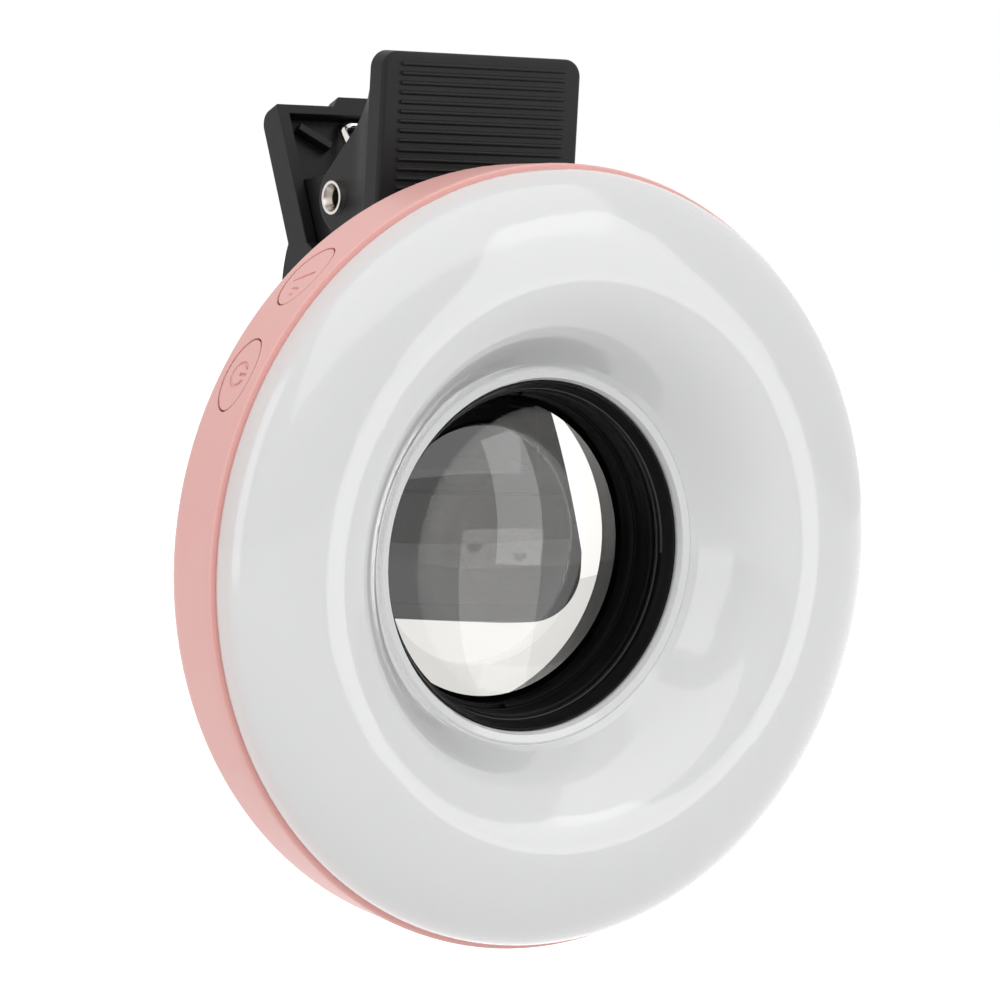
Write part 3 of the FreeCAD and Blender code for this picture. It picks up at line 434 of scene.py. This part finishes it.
def build_axis_group():
    """Distance from the lens axis, and fine turned rings around it."""
    group, source, result = new_group(
        "Turned Rings",
        (("Vector", "Vector", None), ("Spacing", "Float", 0.0003)),
        (("Radius", "Float"), ("Height", "Float")))
    split = node(group, "ShaderNodeSeparateXYZ")
    flat = node(group, "ShaderNodeCombineXYZ")
    radius = node(group, "ShaderNodeVectorMath", operation="LENGTH")
    along = node(group, "ShaderNodeMath", operation="ADD")
    count = node(group, "ShaderNodeMath", operation="DIVIDE")
    wave = node(group, "ShaderNodeMath", operation="SINE")
    spread = node(group, "ShaderNodeMapRange", {"From Min": -1.0, "From Max": 1.0})
    link(group, source.outputs["Vector"], split.inputs[0])
    link(group, split.outputs["X"], flat.inputs["X"])
    link(group, split.outputs["Z"], flat.inputs["Z"])
    link(group, flat.outputs[0], radius.inputs[0])
    link(group, radius.outputs["Value"], along.inputs[0])
    link(group, split.outputs["Y"], along.inputs[1])
    link(group, along.outputs[0], count.inputs[0])
    link(group, source.outputs["Spacing"], count.inputs[1])
    link(group, count.outputs[0], wave.inputs[0])
    link(group, wave.outputs[0], spread.inputs["Value"])
    link(group, radius.outputs["Value"], result.inputs["Radius"])
    link(group, spread.outputs["Result"], result.inputs["Height"])


# Finishes


def new_finish(name, values=None):
    """A material with one Principled shader: the material, its tree, the place and the shader."""
    material = bpy.data.materials.new(name)
    tree = fresh_tree(material)
    place = node(tree, "ShaderNodeTexCoord").outputs["Object"]
    shell = node(tree, "ShaderNodeBsdfPrincipled", values)
    end = node(tree, "ShaderNodeOutputMaterial")
    link(tree, shell.outputs[0], end.inputs["Surface"])
    return material, tree, place, shell


def moulded(name, base, other, rough, grain=None, edge=0.00015, rubbed=None, rub=0.0, shine=0.5):
    """A plastic or rubber: drifting colour, handled roughness, fine grain and softened edges.

    rough holds the least and the most roughness. rubbed is the colour of rubbed edges.
    """
    material, tree, place, shell = new_finish(name, {"Specular IOR Level": shine})
    handled = use_group(tree, "Handling", Least=rough[0], Most=rough[1])
    edges = use_group(tree, "Soft Edges", Radius=edge, Rub=rub)
    body = two_tones(tree, base, other)
    link(tree, place, handled.inputs["Vector"])
    link(tree, place, edges.inputs["Vector"])
    link(tree, handled.outputs["Drift"], body.inputs["Factor"])
    tint = body.outputs["Result"]
    if rubbed:
        worn = two_tones(tree, base, rubbed)
        link(tree, edges.outputs["Mask"], worn.inputs["Factor"])
        link(tree, tint, worn.inputs["A"])
        tint = worn.outputs["Result"]
    link(tree, tint, shell.inputs["Base Color"])
    link(tree, handled.outputs["Roughness"], shell.inputs["Roughness"])
    normal = edges.outputs["Normal"]
    if grain:
        texture = use_group(tree, "Moulded Grain", Scale=grain.cells, Roughening=grain.rounded)
        bump = node(tree, "ShaderNodeBump", {"Strength": 1.0, "Distance": grain.depth})
        link(tree, place, texture.inputs["Vector"])
        link(tree, texture.outputs["Height"], bump.inputs["Height"])
        link(tree, normal, bump.inputs["Normal"])
        normal = bump.outputs["Normal"]
    link(tree, normal, shell.inputs["Normal"])
    return material


def metal(name, base, other, rough, rings=None, metallic=1.0, shine=0.5):
    """A plated or anodised metal: drifting tone, handled roughness and, if turned, fine rings."""
    material = moulded(name, base, other, rough, edge=0.0001, shine=shine)
    tree = material.node_tree
    shell = next(n for n in tree.nodes if n.type == "BSDF_PRINCIPLED")
    shell.inputs["Metallic"].default_value = metallic
    if rings:
        place = next(n for n in tree.nodes if n.type == "TEX_COORD").outputs["Object"]
        turned = use_group(tree, "Turned Rings", Spacing=rings.spacing)
        bump = node(tree, "ShaderNodeBump", {"Strength": 1.0, "Distance": rings.depth})
        link(tree, place, turned.inputs["Vector"])
        link(tree, turned.outputs["Height"], bump.inputs["Height"])
        link(tree, shell.inputs["Normal"].links[0].from_socket, bump.inputs["Normal"])
        link(tree, bump.outputs["Normal"], shell.inputs["Normal"])
    return material


def diffuser_plastic(finish):
    """Glossy milk-white plastic: light soaks in, and a painted pink reflection of the rim lies on
    its outer edge.
    """
    material, tree, place, shell = new_finish("diffuser_plastic", {
        "Subsurface Weight": 0.35, "Subsurface Scale": 0.0025,
        "Subsurface Radius": (1.0, 0.85, 0.8),
        "IOR": 1.49, "Coat Weight": 0.8, "Coat Roughness": 0.03})
    handled = use_group(tree, "Handling", Scale=38.0, Least=0.10, Most=0.17)
    axis = use_group(tree, "Turned Rings")
    # Mask for the painted pink reflection of the rim, rising towards the diffuser's outer edge
    outer = node(tree, "ShaderNodeMapRange", {"From Min": RIM_REFLECTION_START, "From Max": RIM_REFLECTION_FULL},
                 interpolation_type="SMOOTHSTEP")
    body = two_tones(tree, finish.shell, [DIFFUSER_DRIFT * c for c in finish.shell])
    # Painted pink reflection of the rim, mixed over the diffuser's white
    edge = two_tones(tree, finish.shell, finish.shell_rim_reflection)
    texture = use_group(tree, "Moulded Grain", Scale=240.0, Roughening=0.0)
    bump = node(tree, "ShaderNodeBump", {"Strength": 0.6, "Distance": 0.00002})
    for group in (handled, axis, texture):
        link(tree, place, group.inputs["Vector"])
    link(tree, handled.outputs["Drift"], body.inputs["Factor"])
    link(tree, axis.outputs["Radius"], outer.inputs["Value"])
    link(tree, outer.outputs["Result"], edge.inputs["Factor"])
    link(tree, body.outputs["Result"], edge.inputs["A"])
    link(tree, edge.outputs["Result"], shell.inputs["Base Color"])
    link(tree, handled.outputs["Roughness"], shell.inputs["Roughness"])
    link(tree, texture.outputs["Height"], bump.inputs["Height"])
    link(tree, bump.outputs["Normal"], shell.inputs["Normal"])
    return material


def lens_glass():
    """Clear crown glass with the faintest smears and a warm cast."""
    material, tree, place, shell = new_finish("lens_glass", {
        "Transmission Weight": 1.0, "IOR": 1.517, "Specular IOR Level": 0.9,
        "Coat Weight": 0.7, "Coat Roughness": 0.0})
    handled = use_group(tree, "Handling", Scale=90.0, Least=0.0, Most=0.012)
    body = two_tones(tree, (0.84, 0.825, 0.80), (0.82, 0.805, 0.78))
    link(tree, place, handled.inputs["Vector"])
    link(tree, handled.outputs["Drift"], body.inputs["Factor"])
    link(tree, body.outputs["Result"], shell.inputs["Base Color"])
    link(tree, handled.outputs["Roughness"], shell.inputs["Roughness"])
    return material


def speckled(name, base, other, cells, rough):
    """A small part's finish: cells of two colours, for laminate, resin, foam and moulded chips."""
    material, tree, place, shell = new_finish(name)
    handled = use_group(tree, "Handling", Scale=120.0, Least=rough[0], Most=rough[1])
    texture = use_group(tree, "Moulded Grain", Scale=cells, Roughening=0.6)
    bump = node(tree, "ShaderNodeBump", {"Strength": 0.8, "Distance": 0.00002})
    body = two_tones(tree, base, other)
    for group in (handled, texture):
        link(tree, place, group.inputs["Vector"])
    link(tree, texture.outputs["Tone"], body.inputs["Factor"])
    link(tree, texture.outputs["Height"], bump.inputs["Height"])
    link(tree, body.outputs["Result"], shell.inputs["Base Color"])
    link(tree, handled.outputs["Roughness"], shell.inputs["Roughness"])
    link(tree, bump.outputs["Normal"], shell.inputs["Normal"])
    return material


def dress(material, *nodes):
    """Gives every material slot of some CAD nodes the same finish."""
    for name in nodes:
        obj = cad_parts[name]
        if not obj.material_slots:
            obj.data.materials.append(material)
        for slot in obj.material_slots:
            slot.material = material


def finish_named(name):
    """A finish made earlier, by its name."""
    return bpy.data.materials[name]


# Operators


class LENS_OT_shader_groups(bpy.types.Operator):
    """Build the shader groups that the finishes share"""

    bl_idname = "macro_lens.shader_groups"
    bl_label = "Shared Shader Effects"

    def execute(self, context):
        build_grain_group()
        build_edge_group()
        build_handling_group()
        build_axis_group()
        return {"FINISHED"}


class LENS_OT_clip_finish(bpy.types.Operator):
    """Finish the clip's two levers, its pads, its pivot pin and its spring"""

    bl_idname = "macro_lens.clip_finish"
    bl_label = "Clip Finish"

    def execute(self, context):
        finish = context.scene.lens_finish
        cells = 1.0 / finish.grain
        black = moulded("clip_plastic", finish.clip, (0.012, 0.012, 0.0123), rough=(0.40, 0.52),
                        grain=Grain(cells, depth=0.000015, rounded=0.45), edge=0.0002,
                        rubbed=finish.clip_worn, rub=0.5, shine=0.22)
        pad = moulded("pad_rubber", (0.012, 0.012, 0.0122), (0.018, 0.018, 0.0182),
                      rough=(0.6, 0.75), grain=Grain(cells * 1.4, depth=0.00002, rounded=0.3),
                      edge=0.0002)
        nickel = metal("bright_steel", finish.plating, (0.60, 0.575, 0.54), rough=(0.16, 0.3))
        dress(black, "front_lever", "rear_lever")
        dress(pad, "front_pad", "rear_pad")
        dress(nickel, "pivot_pin", "torsion_spring")
        return {"FINISHED"}


class LENS_OT_optics_finish(bpy.types.Operator):
    """Finish the lens barrel, its glass, retaining ring and washer, and all screws"""

    bl_idname = "macro_lens.optics_finish"
    bl_label = "Lens Finish"

    def execute(self, context):
        finish = context.scene.lens_finish
        black = metal("barrel_metal", finish.barrel, (0.006, 0.006, 0.0062), rough=(0.30, 0.42),
                      rings=Rings(spacing=0.00011, depth=0.000012), metallic=0.0, shine=0.1)
        washer = moulded("washer_plastic", (0.03, 0.03, 0.031), (0.04, 0.04, 0.041),
                         rough=(0.4, 0.55))
        steel = metal("screw_steel", (0.42, 0.42, 0.43), (0.34, 0.34, 0.35), rough=(0.25, 0.4))
        dress(black, "lens_barrel", "lens_retainer")
        dress(lens_glass(), "lens_glass")
        dress(washer, "thread_washer")
        dress(steel, "barrel_screws", "cover_screws")
        return {"FINISHED"}


class LENS_OT_light_finish(bpy.types.Operator):
    """Finish the ring light's rim, diffuser and buttons"""

    bl_idname = "macro_lens.light_finish"
    bl_label = "Ring Light Finish"

    def execute(self, context):
        finish = context.scene.lens_finish
        pink = moulded("housing_plastic", finish.rim, finish.rim_shade, rough=(0.38, 0.48),
                       grain=Grain(cells=5200.0, depth=0.000006, rounded=0.3), edge=0.00012)
        dress(pink, "housing", "power_button", "mode_button")
        dress(diffuser_plastic(finish), "diffuser")
        return {"FINISHED"}


class LENS_OT_inside_finish(bpy.types.Operator):
    """Finish the light board, its parts, the battery, the switches and the charging socket"""

    bl_idname = "macro_lens.inside_finish"
    bl_label = "Inner Parts Finish"

    def execute(self, context):
        laminate = speckled("board_laminate", (0.80, 0.81, 0.77), (0.76, 0.77, 0.73),
                            cells=2600.0, rough=(0.3, 0.45))
        resin = speckled("led_package", (0.90, 0.72, 0.20), (0.84, 0.64, 0.14),
                         cells=3000.0, rough=(0.2, 0.3))
        chip = speckled("chip_plastic", (0.03, 0.03, 0.032), (0.045, 0.045, 0.047),
                        cells=5000.0, rough=(0.45, 0.6))
        foam = speckled("foam_tape", (0.70, 0.69, 0.64), (0.60, 0.59, 0.55),
                        cells=2200.0, rough=(0.75, 0.9))
        wire = moulded("lead_insulation", (0.55, 0.03, 0.025), (0.48, 0.025, 0.02),
                       rough=(0.35, 0.45))
        foil = metal("battery_foil", (0.70, 0.71, 0.73), (0.62, 0.63, 0.65), rough=(0.3, 0.45))
        socket = metal("socket_steel", (0.62, 0.62, 0.63), (0.54, 0.54, 0.55), rough=(0.22, 0.36))
        dress(laminate, "led_board")
        dress(resin, "led_array")
        dress(chip, "board_parts", "power_switch", "mode_switch")
        dress(foam, "battery_tape")
        dress(wire, "battery_leads")
        dress(foil, "battery")
        dress(socket, "usb_port")
        return {"FINISHED"}


def rounded_corner(corner, inward, down, radius):
    """Points of an arc that rounds a corner, between two directions that lead away from it."""
    opening = inward.angle(down)
    back = radius / math.tan(opening / 2)
    centre = corner + (inward + down).normalized() * (radius / math.sin(opening / 2))
    first = corner + inward * back - centre
    last = corner + down * back - centre
    sweep = math.pi - opening
    axis = first.cross(last).normalized()
    return [centre + Matrix.Rotation(sweep * k / BEND_POINTS, 3, axis) @ first
            for k in range(BEND_POINTS + 1)]


def spring_path(size, side):
    """Half of the spring's wire on one side: the loop's middle, the coil and the free leg."""
    pivot = Vector((0, size.pivot_y, size.pivot_z))
    middle = Vector((0, size.loop_y, size.loop_z))
    loop = middle - pivot
    leg = Vector((0, -size.leg_y, size.leg_z)) - pivot
    start = math.atan2(loop.z, loop.y) - math.acos(size.coil / math.hypot(loop.y, loop.z))
    stop = math.atan2(leg.z, leg.y) + math.acos(size.coil / math.hypot(leg.y, leg.z))
    turning = (start - stop) % math.tau + math.tau * size.turns
    slope = size.pitch / (math.tau * size.coil)
    loop_run = math.sqrt(loop.y ** 2 + loop.z ** 2 - size.coil ** 2)
    leg_run = math.sqrt(leg.y ** 2 + leg.z ** 2 - size.coil ** 2)
    coil = []
    steps = int(turning / math.tau * POINTS_PER_TURN)
    for k in range(steps + 1):
        turn = start - turning * k / steps
        x = size.start + size.pitch * turning / math.tau * k / steps
        coil.append(pivot + Vector((x, size.coil * math.cos(turn), size.coil * math.sin(turn))))
    corner = Vector((coil[0].x - slope * loop_run, size.loop_y, size.loop_z))
    tip = Vector((coil[-1].x + slope * leg_run, -size.leg_y, size.leg_z))
    bend = rounded_corner(corner, (middle - corner).normalized(), (coil[0] - corner).normalized(),
                          size.bend)
    run_in = [middle.lerp(bend[0], k / LOOP_POINTS) for k in range(LOOP_POINTS)]
    run_down = [bend[-1].lerp(coil[0], k / DOWN_POINTS) for k in range(1, DOWN_POINTS)]
    run_out = [coil[-1].lerp(tip, k / LEG_POINTS) for k in range(1, LEG_POINTS + 1)]
    path = run_in + bend + run_down + coil + run_out
    return [Vector((p.x * side, p.y, p.z)) for p in path]


class LENS_OT_spring(bpy.types.Operator):
    """Build the double torsion spring in two halves"""

    bl_idname = "macro_lens.spring"
    bl_label = "Clip Spring"

    def execute(self, context):
        size = context.scene.lens_spring
        nickel = finish_named("bright_steel")
        for label, side in (("spring_right", 1), ("spring_left", -1)):
            verts, faces = swept_wire(spring_path(size, side), size.wire / 2, size.sides)
            half = add_mesh(label, verts, faces, nickel)
            face_outwards(half)
            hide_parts("torsion_spring")
            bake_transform(half)
        return {"FINISHED"}


def thread_tree(material):
    """Geometry nodes: a helix along Z with a sharp ridge swept round it."""
    tree = bpy.data.node_groups.new("Thread Ridge", "GeometryNodeTree")
    for label, kind in (("Geometry", "Geometry"), ("Wall Radius", "Float"), ("Pitch", "Float"),
                        ("Turns", "Float"), ("Ridge Height", "Float"), ("Steps", "Int")):
        tree.interface.new_socket(name=label, in_out="INPUT", socket_type="NodeSocket" + kind)
    tree.interface.new_socket(name="Geometry", in_out="OUTPUT", socket_type="NodeSocketGeometry")
    source = tree.nodes.new("NodeGroupInput")
    result = tree.nodes.new("NodeGroupOutput")
    rise = node(tree, "ShaderNodeMath", operation="MULTIPLY")
    spiral = node(tree, "GeometryNodeCurveSpiral")
    upright = node(tree, "GeometryNodeSetCurveNormal", mode="Z_UP")
    ridge = node(tree, "GeometryNodeCurvePrimitiveCircle", {"Resolution": 3}, mode="RADIUS")
    squeeze = node(tree, "GeometryNodeTransform", {"Scale": RIDGE_SQUEEZE})
    sweep = node(tree, "GeometryNodeCurveToMesh", {"Fill Caps": True})
    whole = node(tree, "GeometryNodeRealizeInstances")
    skin = node(tree, "GeometryNodeSetMaterial", {"Material": material})
    link(tree, source.outputs["Pitch"], rise.inputs[0])
    link(tree, source.outputs["Turns"], rise.inputs[1])
    link(tree, rise.outputs[0], spiral.inputs["Height"])
    link(tree, source.outputs["Steps"], spiral.inputs["Resolution"])
    link(tree, source.outputs["Turns"], spiral.inputs["Rotations"])
    link(tree, source.outputs["Wall Radius"], spiral.inputs["Start Radius"])
    link(tree, source.outputs["Wall Radius"], spiral.inputs["End Radius"])
    link(tree, source.outputs["Ridge Height"], ridge.inputs["Radius"])
    link(tree, spiral.outputs["Curve"], upright.inputs["Curve"])
    link(tree, upright.outputs["Curve"], sweep.inputs["Curve"])
    link(tree, ridge.outputs["Curve"], squeeze.inputs["Geometry"])
    link(tree, squeeze.outputs["Geometry"], sweep.inputs["Profile Curve"])
    link(tree, sweep.outputs["Mesh"], whole.inputs["Geometry"])
    link(tree, whole.outputs["Geometry"], skin.inputs["Geometry"])
    link(tree, skin.outputs["Geometry"], result.inputs["Geometry"])
    return tree


def grown(name, tree, values):
    """Runs a geometry node tree with named input values and hands back its plain mesh object."""
    seed = add_object(name, bpy.data.meshes.new(name + "_seed"))
    modifier = seed.modifiers.new("grow", "NODES")
    modifier.node_group = tree
    sockets = {item.name: item.identifier for item in tree.interface.items_tree
               if item.item_type == "SOCKET" and item.in_out == "INPUT"}
    for label, value in values.items():
        modifier[sockets[label]] = value
    bpy.context.view_layer.update()
    ready = seed.evaluated_get(bpy.context.evaluated_depsgraph_get())
    mesh = bpy.data.meshes.new_from_object(ready)
    seed.modifiers.remove(modifier)
    seed.data = mesh
    if not mesh.polygons:
        raise RuntimeError(name + " came out empty")
    return seed


class LENS_OT_thread(bpy.types.Operator):
    """Build the filter thread's ridges inside the mouth of the lens barrel"""

    bl_idname = "macro_lens.thread"
    bl_label = "Filter Thread"

    def execute(self, context):
        size = context.scene.lens_thread
        black = finish_named("barrel_metal")
        ridge = grown("filter_thread_ridge", thread_tree(black),
                      {"Wall Radius": size.wall, "Pitch": size.pitch, "Turns": size.turns,
                       "Ridge Height": size.height, "Steps": size.steps})
        turn = Matrix.Rotation(math.radians(-90), 4, "X")
        ridge.data.transform(Matrix.Translation((0, -size.mouth, 0)) @ turn)
        face_outwards(ridge)
        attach(ridge, "light")
        return {"FINISHED"}


def set_lamp(lamp):
    """Sets an area lamp that faces the lens and is hidden from the camera."""
    light = bpy.data.lights.new(lamp.name, "AREA")
    light.shape = "RECTANGLE"
    light.size = lamp.width
    light.size_y = lamp.height
    light.energy = lamp.brightness * math.pi * lamp.width * lamp.height
    made = add_object(lamp.name, light)
    made.location = lamp.place
    made.rotation_euler = (LIT_POINT - lamp.place).to_track_quat("-Z", "Y").to_euler()
    made.visible_camera = False
    made.visible_diffuse = lamp.lights


def seen_directly(tree):
    """A factor of 1 for rays that show the backdrop: from the camera, gloss and through glass."""
    path = node(tree, "ShaderNodeLightPath")
    first = node(tree, "ShaderNodeMath", operation="MAXIMUM")
    second = node(tree, "ShaderNodeMath", operation="MAXIMUM")
    link(tree, path.outputs["Is Camera Ray"], first.inputs[0])
    link(tree, path.outputs["Is Glossy Ray"], first.inputs[1])
    link(tree, first.outputs[0], second.inputs[0])
    link(tree, path.outputs["Is Transmission Ray"], second.inputs[1])
    return second.outputs[0]


def floor_finish(studio):
    """A pale floor that shows as the white backdrop and keeps a faint shadow."""
    material = bpy.data.materials.new("studio_floor")
    tree = fresh_tree(material)
    place = node(tree, "ShaderNodeTexCoord").outputs["Object"]
    drift = node(tree, "ShaderNodeTexNoise", {"Scale": 3.0})
    paper = two_tones(tree, (0.80, 0.80, 0.80), (0.78, 0.78, 0.78))
    matte = node(tree, "ShaderNodeBsdfDiffuse")
    glow = node(tree, "ShaderNodeEmission", {"Strength": FLOOR_GLOW * studio.backdrop})
    both = node(tree, "ShaderNodeAddShader")
    choose = node(tree, "ShaderNodeMixShader")
    end = node(tree, "ShaderNodeOutputMaterial")
    link(tree, place, drift.inputs["Vector"])
    link(tree, drift.outputs["Fac"], paper.inputs["Factor"])
    link(tree, paper.outputs["Result"], matte.inputs["Color"])
    link(tree, matte.outputs[0], both.inputs[0])
    link(tree, glow.outputs[0], both.inputs[1])
    link(tree, seen_directly(tree), choose.inputs["Fac"])
    link(tree, matte.outputs[0], choose.inputs[1])
    link(tree, both.outputs[0], choose.inputs[2])
    link(tree, choose.outputs[0], end.inputs["Surface"])
    return material


def set_world(scene, studio):
    """Sets an even light from all round, behind a white backdrop."""
    scene.world = bpy.data.worlds.new("studio_world")
    tree = fresh_tree(scene.world)
    pure_white = (1, 1, 1, 1)
    even = node(tree, "ShaderNodeBackground", {"Color": pure_white, "Strength": studio.sky})
    white = node(tree, "ShaderNodeBackground", {"Color": pure_white, "Strength": studio.backdrop})
    choose = node(tree, "ShaderNodeMixShader")
    end = node(tree, "ShaderNodeOutputWorld")
    link(tree, seen_directly(tree), choose.inputs["Fac"])
    link(tree, even.outputs[0], choose.inputs[1])
    link(tree, white.outputs[0], choose.inputs[2])
    link(tree, choose.outputs[0], end.inputs["Surface"])


def set_camera(scene, studio):
    """Sets the camera that fits the photograph."""
    lens = bpy.data.cameras.new("photo_camera")
    lens.sensor_width = SENSOR_WIDTH_MM
    lens.lens = studio.focal
    lens.clip_start = CLIP_START
    lens.clip_end = CLIP_END
    camera = add_object("photo_camera", lens)
    turned = Matrix((CAMERA_RIGHT, CAMERA_UP, -CAMERA_AHEAD)).transposed()
    camera.matrix_world = Matrix.Translation(CAMERA_PLACE) @ turned.to_4x4()
    scene.camera = camera


class LENS_OT_stage(bpy.types.Operator):
    """Set the floor, the white backdrop, the soft lamps and the camera"""

    bl_idname = "macro_lens.stage"
    bl_label = "Studio"

    def execute(self, context):
        studio = context.scene.lens_studio
        scene = context.scene
        scene.view_settings.view_transform = "Standard"
        half = studio.floor_size / 2
        level = cad_box[0][2] - studio.floor_drop
        corners = [(-half, -half, level), (half, -half, level),
                   (half, half, level), (-half, half, level)]
        floor = add_mesh("studio_floor", corners, [(0, 1, 2, 3)], floor_finish(studio),
                         smooth=False)
        set_world(scene, studio)
        for lamp in LAMPS:
            set_lamp(lamp)
        set_camera(scene, studio)
        return {"FINISHED"}


STEPS = (LENS_OT_shader_groups, LENS_OT_clip_finish, LENS_OT_optics_finish, LENS_OT_light_finish,
         LENS_OT_inside_finish, LENS_OT_spring, LENS_OT_thread, LENS_OT_stage)


class LENS_PT_panel(bpy.types.Panel):
    """Lists the steps that dress the lens and set the studio"""

    bl_idname = "LENS_PT_panel"
    bl_label = "Ring Light Macro Lens"
    bl_space_type = "VIEW_3D"
    bl_region_type = "UI"
    bl_category = "Macro Lens"

    def draw(self, context):
        for step in STEPS:
            self.layout.operator(step.bl_idname)
        for label, group in GROUPS.items():
            box = self.layout.box()
            box.label(text=group.__name__)
            for field in group.__annotations__:
                box.prop(getattr(context.scene, label), field)


CLASSES = (*GROUPS.values(), *STEPS, LENS_PT_panel)


def register():
    for made in CLASSES:
        bpy.utils.register_class(made)
    for label, group in GROUPS.items():
        setattr(bpy.types.Scene, label, PointerProperty(type=group))


def unregister():
    for label in GROUPS:
        delattr(bpy.types.Scene, label)
    for made in reversed(CLASSES):
        bpy.utils.unregister_class(made)


def main():
    register()
    for step in STEPS:
        group, name = step.bl_idname.split(".")
        getattr(getattr(bpy.ops, group), name)()


if __name__ == "__main__":
    main()
